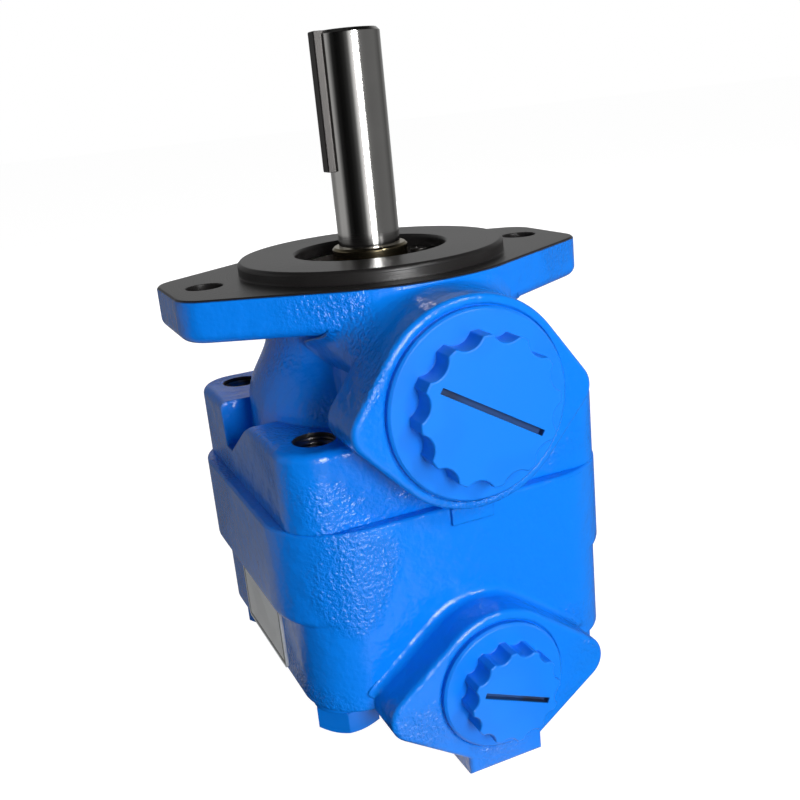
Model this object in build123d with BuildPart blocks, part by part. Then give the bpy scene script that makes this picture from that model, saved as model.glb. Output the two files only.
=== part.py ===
from build123d import *
from math import cos, pi, radians, sin
import os

# Hydraulic vane pump with a two bolt flange. Sizes in mm.
# Origin: centre of the mounting face, on the shaft's axis. +Z runs out along the shaft.
# X is the line through the two flange holes. Both ports open towards -Y.

# running fits and seats
fit_clear = 0.05        # radial play of a running or located fit
face_clear = 0.04       # play of rotor and vanes against each side face
soft_gap = 0.3          # room left between rubber and a piece that moves past it
overlap = 1.0           # how far a cut or a joined block runs past the face it meets

# mounting flange
pilot_r = 41.275
pilot_h = 4.0
pilot_soft = 0.8
flange_thk = 12.5
flange_end = 11.5       # from each bolt hole's centre to the flange's end
flange_mid_r = 48.0
flange_corner_r = 11.0
flange_slope = 60.0     # angle of the long sides' normals from X, in degrees
bolt_spacing = 106.4
bolt_hole_r = 5.55
flange_top_soft = 0.6
flange_under_soft = 3.2

# square bodies of the two castings
body_half = 50.4
body_corner_r = 12.0
joint_z = -63.6         # the joint face between the castings
ear_top_z = -40.5
ear_inner = 16.0
notch_floor_half = 3.0
notch_floor_z = -54.5
notch_depth = 14.0
notch_lean = 1.0        # how far the steep wall leans
ear_soft = 2.5
rim_half = 54.0
rim_corner_r = 24.0     # large, so that the ledge runs out to nothing at each ear
rim_z = -93.2
rim_step = 3.0
rim_front_soft = 0.6
cover_half = 49.6
cover_front_half = 54.0
cover_corner_r = 18.0
cover_end_z = -119.4
cover_end_soft = 1.2
foot_r = 30.0
foot_z = -142.0
foot_shoulder_r = 38.0
foot_shoulder_z = -129.0
foot_root = 4.0         # how far the foot runs into the block
foot_bevel_r = 2.0
foot_bevel_h = 3.0
rib_half_w = 12.0
rib_root_z = -136.6     # the outlet boss narrows to the rib's width here

# neck between the flange and the square body: radius at each height
neck_profile = [(-11.5, 37.4), (-14, 35.8), (-20, 35.5), (-26.5, 38.2), (-32.5, 41.6), (-40, 43.2)]
neck_foot_r = 43.6

# ports
inlet_z = -31.6
inlet_face_y = -65.0
inlet_boss_r = 29.6
inlet_lobe_x = 28.8
inlet_lobe_z = -33.2
inlet_lobe_r = 7.2
inlet_boss_len = 17.6
inlet_boss_soft = 1.6
inlet_hub_r = 26.6
inlet_hub_len = 50.0
inlet_thread_r = 20.64
inlet_depth = 22.0
outlet_z = -115.3
outlet_face_y = -66.8
outlet_boss_r = 22.4
outlet_lobe_x = 27.3
outlet_lobe_r = 7.3
outlet_lobe_z = -117.3
outlet_boss_len = 19.0
outlet_boss_soft = 1.4
outlet_hub_len = 36.0
outlet_thread_r = 13.49
outlet_depth = 20.0
spot_step = 0.6         # depth of the turned ring round each port
spot_margin = 0.6
hub_inset = 2.0         # distance of each boss's round root behind its face

# shaft
shaft_r = 9.525
shaft_end_z = 68.0
seat_r = 10.0
shoulder_r = 12.0
shoulder_len = 2.5
seal_journal_r = 11.0
seal_journal_end_z = -29.0
shank_r = 10.4
shank_bore_r = 11.6
bush_journal_r = 9.7
bush_len = 15.0
bush_outer_r = 12.6
shaft_soft = 1.0
key_w = 4.76
key_reach = 11.6
key_z = 28.0
key_soft = 0.35

# ball bearing
bearing_top_z = -1.5
bearing_bore_r = seat_r
bearing_outer_r = 23.5
bearing_w = 14.0
mouth_soft = 0.6
ball_share = 0.294      # a ball's radius as a share of the bearing's depth from bore to rim
ball_count = 9
race_clear = 0.03
land_share = 0.642      # the lands' distance from the balls' circle as a share of a ball
cage_margin = 0.93
cage_half_t = 1.2
cage_clear = 0.08

# rings that hold the bearing
collar_r = 11.7
collar_top_z = 5.0
collar_soft = 0.7
circlip_t = 1.75
circlip_w = 3.6
circlip_groove = 1.1
circlip_gap_half = 11.0  # half of the open angle between the ends, in degrees
lug_r = 2.9
lug_hole_r = 1.25
lug_inset = 0.2         # distance of a lug's centre inside the ring's inner edge
lug_hole_inset = 0.8
lug_turn = 8.0          # angle from each end of the ring to its lug

# shaft seal
seal_outer_r = 17.5
seal_w = 7.0
seal_z = -18.5          # the seal's front face
seal_wall = 1.6
lip_share = 0.74        # how deep the lip's edge lies, as a share of the seal's width
stem_in = 1.0           # the stem between cup and lip, measured out from the lip's edge
stem_out = 2.4
stem_len = 2.4
lip_foot = [(1.9, -1.2), (0.7, -1.2)]   # the lip's rear corners: out and down from its edge
garter_r = 0.8
garter_out = 2.8        # the garter spring's centre line, measured out from the lip's edge

# pumping set
rotor_r = 25.0
ring_minor_r = 25.3
ring_major_r = 28.3
ring_outer_r = 38.0
ring_len = 30.0
dwell_half = 18.0       # half angle of each constant part of the bore, in degrees
profile_steps = 72
vane_count = 12
vane_t = 2.0
vane_h = 8.6
vane_tip_clear = 0.1
vane_tip_soft = 0.9
vane_back = 0.8         # free depth under each vane
slot_root_r = 1.5
spline_teeth = 12
spline_major_r = 9.2
spline_minor_r = 8.0
spline_gap_w = 2.3
spline_len = 28.0
plate_thk = 8.0
plate_hub_r = 20.0
plate_hub_h = 3.0
kidney_r = 26.6
kidney_w = 4.6
kidney_half = 24.0      # half of a port window's angle, in degrees
inlet_window_at = (135.0, 315.0)
outlet_window_at = (45.0, 225.0)
pin_r = 3.0
pin_share = 0.567       # the pins' place between the ring's bore and its rim
pin_in_body = 8.0
pin_in_plate = 5.0

# chambers cored in the castings
gallery_out_r = 31.0
gallery_hub_r = 18.5
gallery_top_z = -30.0
gallery_end_z = -50.0
inlet_core_r = 14.5
inlet_core_z = -37.0
inlet_core_len = 21.0
chamber_r = 28.0
chamber_end_z = -128.0
outlet_core_r = 9.0
outlet_core_z = -118.0
outlet_core_len = 25.0
cartridge_gap = 0.15    # the pumping set slides into the cover's bore
plate_travel = 0.6
feed_groove_w = 3.0
feed_groove_deep = 1.5
feed_hole_r = 1.2
feed_holes = 4
spring_wire_r = 1.3
spring_coils = 3.5

# seals in grooves
cover_seal_t = 1.1
plate_seal_t = 1.0
seal_groove_half = 1.3

# screws that hold the castings together
screw_at = 37.5
screw_r = 5.95
screw_hole_r = 6.0
cover_hole_r = 6.75
screw_len = 75.0
screw_soft = 0.8
head_af = 18.0
head_h = 7.5
head_soft_w = 0.5
head_soft_h = 1.0
washer_outer_r = 10.0
washer_t = 2.5
washer_clear = 0.2
washer_gap = 1.6
head_turn = 11.0

# port plugs
inlet_plug_r = 26.5
inlet_knob_r = 20.6
inlet_slot_len = 33.6
inlet_slot_turn = -31.8
outlet_plug_r = 19.2
outlet_knob_r = 14.0
outlet_slot_len = 21.4
outlet_slot_turn = -23.2
plug_flange_t = 1.8
knob_h = 7.2
knob_soft = 0.3
plug_flange_soft = 0.7
scallops = 12
scallop_at_share = 1.13  # place, size and softening of the scallops, as shares of the knob
scallop_r_share = 0.24
scallop_soft_share = 0.03
slot_w = 1.7
slot_deep = 2.2
plug_wall = 2.4
inlet_plug_deep = 14.0
outlet_plug_deep = 12.0

# data plate, left blank
plate_t = 0.8
plate_corner_r = 1.2
plate_y = (-21.0, 19.5)
plate_z = (-95.2, -117.6)
index_pad = (13.2, 5.0, 1.2)
index_pad_at = (1.0, -66.5)

# sizes that follow from the ones above
flange_half_l = bolt_spacing / 2 + flange_end
ball_r = ball_share * (bearing_outer_r - bearing_bore_r)
ball_pitch_r = (bearing_outer_r + bearing_bore_r) / 2
land_out_r = ball_pitch_r + land_share * ball_r
land_in_r = ball_pitch_r - land_share * ball_r
cage_half_w = ball_r + cage_margin
pin_at_r = ring_minor_r + pin_share * (ring_outer_r - ring_minor_r)
bearing_end_z = bearing_top_z - bearing_w
bearing_mid_z = bearing_top_z - bearing_w / 2
ring_end_z = joint_z - ring_len
plate_back_z = ring_end_z - plate_thk
plate_bore_end_z = plate_back_z - plate_travel
bush_top_z = joint_z + bush_len
bore_r = ring_outer_r + cartridge_gap
cover_seal_r = (bore_r + screw_at * 2**0.5 - cover_hole_r) / 2
rotor_len = ring_len - 2 * face_clear
rotor_top_z = joint_z - face_clear
vane_tip_r = ring_minor_r - vane_tip_clear
vane_foot_r = vane_tip_r - vane_h
slot_foot_r = vane_foot_r - vane_back
head_seat_z = cover_end_z - washer_t
head_corner_r = head_af / 3**0.5
spring_mean_r = (plate_hub_r + chamber_r) / 2
plate_seal_r = bore_r - soft_gap - plate_seal_t
groove_r = bearing_outer_r + circlip_groove
lug_at_r = groove_r - circlip_w - lug_inset
lug_hole_at_r = groove_r - circlip_w - lug_hole_inset
lug_angle = circlip_gap_half + lug_turn
lip_r = seal_journal_r + soft_gap
lip_z = seal_z - lip_share * seal_w
feed_at_r = slot_foot_r + (feed_groove_w - vane_t) / 2
shoulder_end_z = bearing_end_z - shoulder_len
plate_mid_z = (plate_z[0] + plate_z[1]) / 2
notch_foot = notch_lean - ear_inner
notch_outline = [
    (-ear_inner - notch_lean, ear_top_z + overlap), (notch_foot, notch_floor_z),
    (notch_foot + 2 * notch_floor_half, notch_floor_z), (ear_inner, ear_top_z + overlap),
]
corners = [(sx * screw_at, sy * screw_at) for sx in (-1, 1) for sy in (-1, 1)]

os.makedirs("parts", exist_ok=True)


def save(part, name):
    part.label = name
    export_step(part, "parts/" + name + ".step")


def polar(r, degrees):
    return (r * cos(radians(degrees)), r * sin(radians(degrees)))


def ring_radius(degrees):
    """Radius of the ring's bore at an angle from X: constant near X and near Y, eased between."""
    a = abs((degrees + 90) % 180 - 90)
    t = min(max((a - dwell_half) / (90 - 2 * dwell_half), 0), 1)
    eased = t - sin(2 * pi * t) / (2 * pi)
    return ring_minor_r + (ring_major_r - ring_minor_r) * eased


def rib_face(top_z, end_z):
    """The rib's face between two heights, for a sketch that looks along Y."""
    with Locations((0, (top_z + end_z) / 2)):
        Rectangle(2 * rib_half_w, top_z - end_z)


def boss(face_y, deep, z, r, lobe_x, lobe_z, lobe_r, soft, ribbed=False):
    """A port boss: a round one with a lobe on each side, drawn into one outline."""
    with BuildPart() as body:
        with BuildSketch(Plane.XZ.offset(-face_y)):
            with Locations((0, z)):
                Circle(r)
            with Locations((-lobe_x, lobe_z), (lobe_x, lobe_z)):
                Circle(lobe_r)
            if ribbed:
                rib_face(z, rib_root_z)
            make_hull()
            if ribbed:
                rib_face(z, foot_z)
        extrude(amount=-deep)
        fillet(body.faces().sort_by(Axis.Y)[0].edges(), soft)
    return body.part


def spline_outline(grow):
    """The toothed section of the shaft's inner end, grown all round by a clearance."""
    with BuildSketch() as outline:
        Circle(spline_major_r + grow)
        with PolarLocations(spline_major_r, spline_teeth):
            Rectangle(
                2 * (spline_major_r - spline_minor_r - grow),
                spline_gap_w - 2 * grow,
                mode=Mode.SUBTRACT,
            )
    return outline.sketch


def port_plug(face_y, z, flange_r, thread_r, deep, knob_r, slot_len, slot_turn):
    """A plastic plug: a skirt in the port, a flange on the boss and a scalloped knob."""
    with BuildPart() as plug:
        with BuildSketch(Plane.XZ.offset(-face_y)):
            with Locations((0, z)):
                Circle(thread_r - fit_clear)
        extrude(amount=-deep)
        with BuildSketch(Plane.XZ.offset(-face_y - spot_step)):
            with Locations((0, z)):
                Circle(flange_r)
        extrude(amount=plug_flange_t + spot_step)
        chamfer(plug.faces().sort_by(Axis.Y)[0].edges(), plug_flange_soft)
        with BuildSketch(Plane.XZ.offset(-face_y + plug_flange_t)) as knob:
            with Locations((0, z)):
                Circle(knob_r)
                with PolarLocations(knob_r * scallop_at_share, scallops, start_angle=180 / scallops):
                    Circle(knob_r * scallop_r_share, mode=Mode.SUBTRACT)
            fillet(knob.vertices(), knob_r * scallop_soft_share)
        extrude(amount=knob_h)
        chamfer(plug.faces().sort_by(Axis.Y)[0].edges(), knob_soft)
        with BuildSketch(Plane.XZ.offset(-face_y + plug_flange_t + knob_h)):
            with Locations(Location((0, z), slot_turn)):
                Rectangle(slot_len, slot_w)
        extrude(amount=-slot_deep, mode=Mode.SUBTRACT)
        with BuildSketch(Plane.XZ.offset(-face_y - deep)):
            with Locations((0, z)):
                Circle(thread_r - fit_clear - plug_wall)
        extrude(amount=deep + plug_flange_t, mode=Mode.SUBTRACT)
    return plug.part


# front casting: blanks first, then joined and bored
with BuildPart() as flange_blank:
    flange_cx = flange_half_l - flange_corner_r
    normal = radians(flange_slope)
    flange_cy = (flange_mid_r - flange_corner_r - flange_cx * cos(normal)) / sin(normal)
    with BuildSketch():
        Circle(flange_mid_r)
        with GridLocations(2 * flange_cx, 2 * flange_cy, 2, 2):
            Circle(flange_corner_r)
        make_hull()
    extrude(amount=-flange_thk)
    chamfer(flange_blank.faces().sort_by(Axis.Z)[-1].edges(), flange_top_soft)
    fillet(flange_blank.faces().sort_by(Axis.Z)[0].edges(), flange_under_soft)

with BuildPart() as neck_blank:
    with BuildSketch(Plane.XZ):
        with BuildLine():
            first_z, first_r = neck_profile[0]
            last_z, last_r = neck_profile[-1]
            Spline([(r, z) for z, r in neck_profile])
            Polyline(
                (last_r, last_z), (neck_foot_r, notch_floor_z), (0, notch_floor_z),
                (0, first_z), (first_r, first_z),
            )
        make_face()
    revolve(axis=Axis.Z)

with BuildPart() as ears_blank:
    with BuildSketch(Plane.XY.offset(joint_z)):
        RectangleRounded(2 * body_half, 2 * body_half, body_corner_r)
    extrude(amount=ear_top_z - joint_z)
    fillet(ears_blank.faces().sort_by(Axis.Z)[-1].edges(), ear_soft)
    # between the ears each side has a pocket with one steep and one sloping wall
    for turn in range(4):
        side = Plane.YZ.rotated((0, 0, 90 * turn))
        with BuildSketch(side.offset(body_half - notch_depth)):
            with BuildLine():
                Polyline(*notch_outline, close=True)
            make_face()
        extrude(amount=notch_depth, mode=Mode.SUBTRACT)

inlet_boss = boss(
    inlet_face_y, inlet_boss_len, inlet_z, inlet_boss_r,
    inlet_lobe_x, inlet_lobe_z, inlet_lobe_r, inlet_boss_soft,
)

with BuildPart() as front_body:
    add(ears_blank.part)
    add(neck_blank.part)
    add(flange_blank.part)
    add(inlet_boss)
    with BuildSketch(Plane.XZ.offset(-inlet_face_y - hub_inset)):
        with Locations((0, inlet_z)):
            Circle(inlet_hub_r)
    extrude(amount=-inlet_hub_len)
    with BuildSketch():
        Circle(pilot_r)
    extrude(amount=pilot_h)
    chamfer(front_body.faces().sort_by(Axis.Z)[-1].edges(), pilot_soft)
    # stepped bore along the shaft: bearing, seal, shank and bush
    with BuildSketch(Plane.XZ):
        with BuildLine():
            Polyline(
                (0, pilot_h), (bearing_outer_r + mouth_soft, pilot_h),
                (bearing_outer_r, pilot_h - mouth_soft),
                (bearing_outer_r, bearing_end_z), (seal_outer_r, bearing_end_z),
                (seal_outer_r, seal_z - seal_w), (shank_bore_r, seal_z - seal_w),
                (shank_bore_r, bush_top_z), (bush_outer_r, bush_top_z),
                (bush_outer_r, joint_z), (0, joint_z), (0, pilot_h),
            )
        make_face()
    revolve(axis=Axis.Z, mode=Mode.SUBTRACT)
    with BuildSketch(Plane.XY.offset(bearing_top_z)):
        Circle(groove_r)
    extrude(amount=circlip_t, mode=Mode.SUBTRACT)
    # inlet port, its core and the gallery round the bush housing
    with BuildSketch(Plane.XZ.offset(-inlet_face_y)):
        with Locations((0, inlet_z)):
            Circle(inlet_plug_r + spot_margin)
    extrude(amount=-spot_step, mode=Mode.SUBTRACT)
    with BuildSketch(Plane.XZ.offset(-inlet_face_y)):
        with Locations((0, inlet_z)):
            Circle(inlet_thread_r)
    extrude(amount=-inlet_depth, mode=Mode.SUBTRACT)
    with BuildSketch(Plane.XZ.offset(-inlet_face_y - inlet_depth)):
        with Locations((0, inlet_core_z)):
            Circle(inlet_core_r)
    extrude(amount=-inlet_core_len, mode=Mode.SUBTRACT)
    with BuildSketch(Plane.XY.offset(gallery_top_z)):
        Circle(gallery_out_r)
        Circle(gallery_hub_r, mode=Mode.SUBTRACT)
    extrude(amount=gallery_end_z - gallery_top_z, mode=Mode.SUBTRACT)
    with BuildSketch(Plane.XY.offset(joint_z)):
        for angle in inlet_window_at:
            SlotArc(CenterArc((0, 0), kidney_r, angle - kidney_half, 2 * kidney_half), kidney_w)
    extrude(amount=gallery_end_z - joint_z, mode=Mode.SUBTRACT)
    # holes for the locating pins, the clamping screws and the mounting bolts
    with BuildSketch(Plane.XY.offset(joint_z)):
        with PolarLocations(pin_at_r, 2):
            Circle(pin_r)
    extrude(amount=pin_in_body, mode=Mode.SUBTRACT)
    with BuildSketch(Plane.XY.offset(joint_z)):
        with Locations(*corners):
            Circle(screw_hole_r)
    extrude(amount=ear_top_z - joint_z, mode=Mode.SUBTRACT)
    with BuildSketch():
        with GridLocations(bolt_spacing, 0, 2, 1):
            Circle(bolt_hole_r)
    extrude(amount=-flange_thk, mode=Mode.SUBTRACT)

save(front_body.part, "front_body")

# rear casting: the square block, its rim, the foot and the outlet boss
with BuildPart() as rim_blank:
    with BuildSketch(Plane.XY.offset(joint_z)):
        RectangleRounded(2 * rim_half, 2 * cover_front_half, rim_corner_r)
    extrude(amount=rim_z - joint_z)
    fillet(rim_blank.faces().sort_by(Axis.Z)[0].edges(), rim_step)
    chamfer(rim_blank.faces().sort_by(Axis.Z)[-1].edges(), rim_front_soft)

with BuildPart() as block_blank:
    with BuildSketch(Plane.XY.offset(joint_z - overlap)):
        RectangleRounded(2 * cover_half, 2 * cover_front_half, cover_corner_r)
    extrude(amount=cover_end_z - joint_z + overlap)
    fillet(block_blank.faces().sort_by(Axis.Z)[0].edges(), cover_end_soft)

with BuildPart() as foot_blank:
    with BuildSketch(Plane.XZ):
        with BuildLine():
            Polyline(
                (0, cover_end_z + foot_root), (foot_shoulder_r, cover_end_z + foot_root),
                (foot_shoulder_r, foot_shoulder_z), (foot_r + foot_bevel_r, foot_z + foot_bevel_h),
                (foot_r, foot_z), (0, foot_z), (0, cover_end_z + foot_root),
            )
        make_face()
    revolve(axis=Axis.Z)
    with BuildSketch(Plane.XZ.offset(-outlet_face_y - hub_inset)):
        rib_face(outlet_z, foot_z)
    extrude(amount=outlet_face_y + hub_inset)

outlet_boss = boss(
    outlet_face_y, outlet_boss_len, outlet_z, outlet_boss_r,
    outlet_lobe_x, outlet_lobe_z, outlet_lobe_r, outlet_boss_soft, ribbed=True,
)

with BuildPart() as rear_cover:
    add(block_blank.part)
    add(rim_blank.part)
    add(foot_blank.part)
    add(outlet_boss)
    with BuildSketch(Plane.XZ.offset(-outlet_face_y - hub_inset)):
        with Locations((0, outlet_z)):
            Circle(outlet_boss_r)
    extrude(amount=-outlet_hub_len)
    pad_w, pad_h, pad_t = index_pad
    with BuildSketch(Plane.XZ.offset(cover_front_half - overlap)):
        with Locations(index_pad_at):
            Rectangle(pad_w, pad_h)
    extrude(amount=pad_t + overlap)
    # bore for the pumping set, the chamber behind it and the outlet
    with BuildSketch(Plane.XY.offset(joint_z)):
        Circle(bore_r)
    extrude(amount=plate_bore_end_z - joint_z, mode=Mode.SUBTRACT)
    with BuildSketch(Plane.XY.offset(plate_bore_end_z)):
        Circle(chamber_r)
    extrude(amount=chamber_end_z - plate_bore_end_z, mode=Mode.SUBTRACT)
    with BuildSketch(Plane.XZ.offset(-outlet_face_y)):
        with Locations((0, outlet_z)):
            Circle(outlet_plug_r + spot_margin)
    extrude(amount=-spot_step, mode=Mode.SUBTRACT)
    with BuildSketch(Plane.XZ.offset(-outlet_face_y)):
        with Locations((0, outlet_z)):
            Circle(outlet_thread_r)
    extrude(amount=-outlet_depth, mode=Mode.SUBTRACT)
    with BuildSketch(Plane.XZ.offset(-outlet_face_y - outlet_depth)):
        with Locations((0, outlet_core_z)):
            Circle(outlet_core_r)
    extrude(amount=-outlet_core_len, mode=Mode.SUBTRACT)
    # groove for the joint seal, and the screw holes
    with BuildSketch(Plane.XY.offset(joint_z)):
        Circle(cover_seal_r + cover_seal_t)
        Circle(cover_seal_r - cover_seal_t, mode=Mode.SUBTRACT)
    extrude(amount=-2 * cover_seal_t, mode=Mode.SUBTRACT)
    with BuildSketch(Plane.XY.offset(joint_z)):
        with Locations(*corners):
            Circle(cover_hole_r)
    extrude(amount=cover_end_z - joint_z, mode=Mode.SUBTRACT)

save(rear_cover.part, "rear_cover")

with BuildPart() as cover_seal:
    with Locations((0, 0, joint_z - cover_seal_t)):
        Torus(cover_seal_r, cover_seal_t)
save(cover_seal.part, "cover_seal")

# shaft, turned and keyed, with a splined inner end
with BuildPart() as drive_shaft:
    with BuildSketch(Plane.XZ):
        with BuildLine():
            Polyline(
                (0, shaft_end_z), (shaft_r - shaft_soft, shaft_end_z),
                (shaft_r, shaft_end_z - shaft_soft), (shaft_r, bearing_top_z),
                (seat_r, bearing_top_z), (seat_r, bearing_end_z), (shoulder_r, bearing_end_z),
                (shoulder_r, shoulder_end_z), (seal_journal_r, shoulder_end_z),
                (seal_journal_r, seal_journal_end_z), (shank_r, seal_journal_end_z),
                (shank_r, bush_top_z), (bush_journal_r, bush_top_z),
                (bush_journal_r, rotor_top_z), (0, rotor_top_z), (0, shaft_end_z),
            )
        make_face()
    revolve(axis=Axis.Z)
    with BuildSketch(Plane.XY.offset(rotor_top_z)):
        add(spline_outline(0))
    extrude(amount=-spline_len)
    with BuildSketch(Plane.XY.offset(key_z)):
        with Locations((-key_reach + key_w / 2, 0)):
            Rectangle(key_w, key_w)
    extrude(amount=shaft_end_z - key_z, mode=Mode.SUBTRACT)
save(drive_shaft.part, "drive_shaft")

with BuildPart() as shaft_key:
    with BuildSketch(Plane.XY.offset(key_z)):
        with Locations((-key_reach + key_w / 2, 0)):
            Rectangle(key_w, key_w)
    extrude(amount=shaft_end_z - key_z)
    chamfer(shaft_key.faces().sort_by(Axis.X)[0].edges(), key_soft)
save(shaft_key.part, "shaft_key")

# ball bearing
with BuildPart() as inner_race:
    with BuildSketch(Plane.XZ):
        with Locations(((bearing_bore_r + land_in_r) / 2, bearing_mid_z)):
            Rectangle(land_in_r - bearing_bore_r, bearing_w)
        with Locations((ball_pitch_r, bearing_mid_z)):
            Circle(ball_r + race_clear, mode=Mode.SUBTRACT)
    revolve(axis=Axis.Z)
save(inner_race.part, "bearing_inner_race")

with BuildPart() as outer_race:
    with BuildSketch(Plane.XZ):
        with Locations(((bearing_outer_r + land_out_r) / 2, bearing_mid_z)):
            Rectangle(bearing_outer_r - land_out_r, bearing_w)
        with Locations((ball_pitch_r, bearing_mid_z)):
            Circle(ball_r + race_clear, mode=Mode.SUBTRACT)
    revolve(axis=Axis.Z)
save(outer_race.part, "bearing_outer_race")

with BuildPart() as cage:
    with Locations((0, 0, bearing_mid_z)):
        Cylinder(ball_pitch_r + cage_half_t, 2 * cage_half_w)
        Cylinder(ball_pitch_r - cage_half_t, 2 * cage_half_w, mode=Mode.SUBTRACT)
        with PolarLocations(ball_pitch_r, ball_count):
            Cylinder(
                ball_r + cage_clear, 4 * cage_half_t, rotation=(0, 90, 0), mode=Mode.SUBTRACT
            )
save(cage.part, "bearing_cage")

with BuildPart() as balls:
    with Locations((0, 0, bearing_mid_z)):
        with PolarLocations(ball_pitch_r, ball_count):
            Sphere(ball_r)
save(balls.part, "bearing_balls")

with BuildPart() as collar:
    with BuildSketch(Plane.XY.offset(bearing_top_z)):
        Circle(collar_r)
        Circle(shaft_r, mode=Mode.SUBTRACT)
    extrude(amount=collar_top_z - bearing_top_z)
    chamfer(collar.faces().sort_by(Axis.Z)[-1].edges().sort_by(SortBy.RADIUS)[-1], collar_soft)
save(collar.part, "shaft_collar")

# internal ring that holds the bearing, open between two drilled lugs
with BuildPart() as circlip:
    with BuildSketch(Plane.XY.offset(bearing_top_z)):
        Circle(groove_r)
        Circle(groove_r - circlip_w, mode=Mode.SUBTRACT)
        with Locations(polar(lug_at_r, lug_angle), polar(lug_at_r, -lug_angle)):
            Circle(lug_r)
        with Locations(polar(lug_hole_at_r, lug_angle), polar(lug_hole_at_r, -lug_angle)):
            Circle(lug_hole_r, mode=Mode.SUBTRACT)
        with BuildLine():
            Polyline(
                (0, 0), polar(2 * groove_r, circlip_gap_half),
                polar(2 * groove_r, -circlip_gap_half), (0, 0),
            )
        make_face(mode=Mode.SUBTRACT)
    extrude(amount=circlip_t)
save(circlip.part, "bearing_circlip")

# shaft seal: a cup with a lip, and the garter spring round the lip
with BuildPart() as shaft_seal:
    with BuildSketch(Plane.XZ):
        with BuildLine():
            Polyline(
                (seal_outer_r, seal_z), (seal_outer_r, seal_z - seal_w),
                (seal_outer_r - seal_wall, seal_z - seal_w),
                (seal_outer_r - seal_wall, seal_z - seal_wall),
                (lip_r + stem_out, seal_z - seal_wall),
                *[(lip_r + out, lip_z + down) for out, down in lip_foot],
                (lip_r, lip_z), (lip_r + stem_in, seal_z - stem_len),
                (lip_r + stem_in, seal_z), (seal_outer_r, seal_z),
            )
        make_face()
        with Locations((lip_r + garter_out, lip_z)):
            Circle(garter_r, mode=Mode.SUBTRACT)
    revolve(axis=Axis.Z)
save(shaft_seal.part, "shaft_seal")

with BuildPart() as garter:
    with Locations((0, 0, lip_z)):
        Torus(lip_r + garter_out, garter_r)
save(garter.part, "seal_garter_spring")

with BuildPart() as bush:
    with BuildSketch(Plane.XY.offset(joint_z)):
        Circle(bush_outer_r)
        Circle(bush_journal_r + fit_clear, mode=Mode.SUBTRACT)
    extrude(amount=bush_len)
save(bush.part, "shaft_bush")

# pumping set
with BuildPart() as cam_ring:
    bore_points = [
        polar(ring_radius(360 * i / profile_steps), 360 * i / profile_steps)
        for i in range(profile_steps)
    ]
    with BuildSketch(Plane.XY.offset(joint_z)):
        Circle(ring_outer_r)
        with BuildLine():
            Spline(bore_points, periodic=True)
        make_face(mode=Mode.SUBTRACT)
        with PolarLocations(pin_at_r, 2):
            Circle(pin_r + fit_clear, mode=Mode.SUBTRACT)
    extrude(amount=-ring_len)
save(cam_ring.part, "cam_ring")

with BuildPart() as rotor:
    with BuildSketch(Plane.XY.offset(rotor_top_z)):
        Circle(rotor_r)
        add(spline_outline(fit_clear), mode=Mode.SUBTRACT)
        with PolarLocations((slot_foot_r + rotor_r + overlap) / 2, vane_count):
            Rectangle(
                rotor_r + overlap - slot_foot_r, vane_t + 2 * fit_clear, mode=Mode.SUBTRACT
            )
        with PolarLocations(slot_foot_r, vane_count):
            Circle(slot_root_r, mode=Mode.SUBTRACT)
    extrude(amount=-rotor_len)
save(rotor.part, "rotor")

for i in range(vane_count):
    with BuildPart() as vane:
        with BuildSketch(Plane.XY.offset(rotor_top_z)):
            with PolarLocations(vane_tip_r - vane_h / 2, 1, start_angle=360 * i / vane_count):
                Rectangle(vane_h, vane_t)
        extrude(amount=-rotor_len)
        tip = vane.edges().filter_by(Axis.Z).sort_by_distance(
            polar(vane_tip_r, 360 * i / vane_count) + (rotor_top_z - rotor_len / 2,)
        )
        fillet(tip[:2], vane_tip_soft)
    save(vane.part, f"vane_{i + 1:02d}")

with BuildPart() as pressure_plate:
    with BuildSketch(Plane.XY.offset(ring_end_z)):
        Circle(ring_outer_r)
    extrude(amount=-plate_thk)
    with BuildSketch(Plane.XY.offset(plate_back_z)):
        Circle(plate_hub_r)
    extrude(amount=-plate_hub_h)
    for angle in outlet_window_at:
        with BuildSketch(Plane.XY.offset(ring_end_z)):
            SlotArc(CenterArc((0, 0), kidney_r, angle - kidney_half, 2 * kidney_half), kidney_w)
        extrude(amount=-plate_thk, mode=Mode.SUBTRACT)
    with BuildSketch(Plane.XY.offset(ring_end_z)):
        with PolarLocations(pin_at_r, 2):
            Circle(pin_r + fit_clear)
    extrude(amount=-pin_in_plate - plate_travel, mode=Mode.SUBTRACT)
    # a groove feeds the space under the vanes through four drilled holes
    with BuildSketch(Plane.XY.offset(ring_end_z)):
        Circle(feed_at_r + feed_groove_w / 2)
        Circle(feed_at_r - feed_groove_w / 2, mode=Mode.SUBTRACT)
    extrude(amount=-feed_groove_deep, mode=Mode.SUBTRACT)
    with BuildSketch(Plane.XY.offset(ring_end_z)):
        with PolarLocations(feed_at_r, feed_holes):
            Circle(feed_hole_r)
    extrude(amount=-plate_thk - plate_hub_h, mode=Mode.SUBTRACT)
    # groove for the plate's own seal
    with BuildSketch(Plane.XY.offset(ring_end_z - plate_thk / 2 - seal_groove_half)):
        Circle(ring_outer_r)
        Circle(plate_seal_r - plate_seal_t, mode=Mode.SUBTRACT)
    extrude(amount=2 * seal_groove_half, mode=Mode.SUBTRACT)
save(pressure_plate.part, "pressure_plate")

with BuildPart() as plate_seal:
    with Locations((0, 0, ring_end_z - plate_thk / 2)):
        Torus(plate_seal_r, plate_seal_t)
save(plate_seal.part, "pressure_plate_seal")

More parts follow.
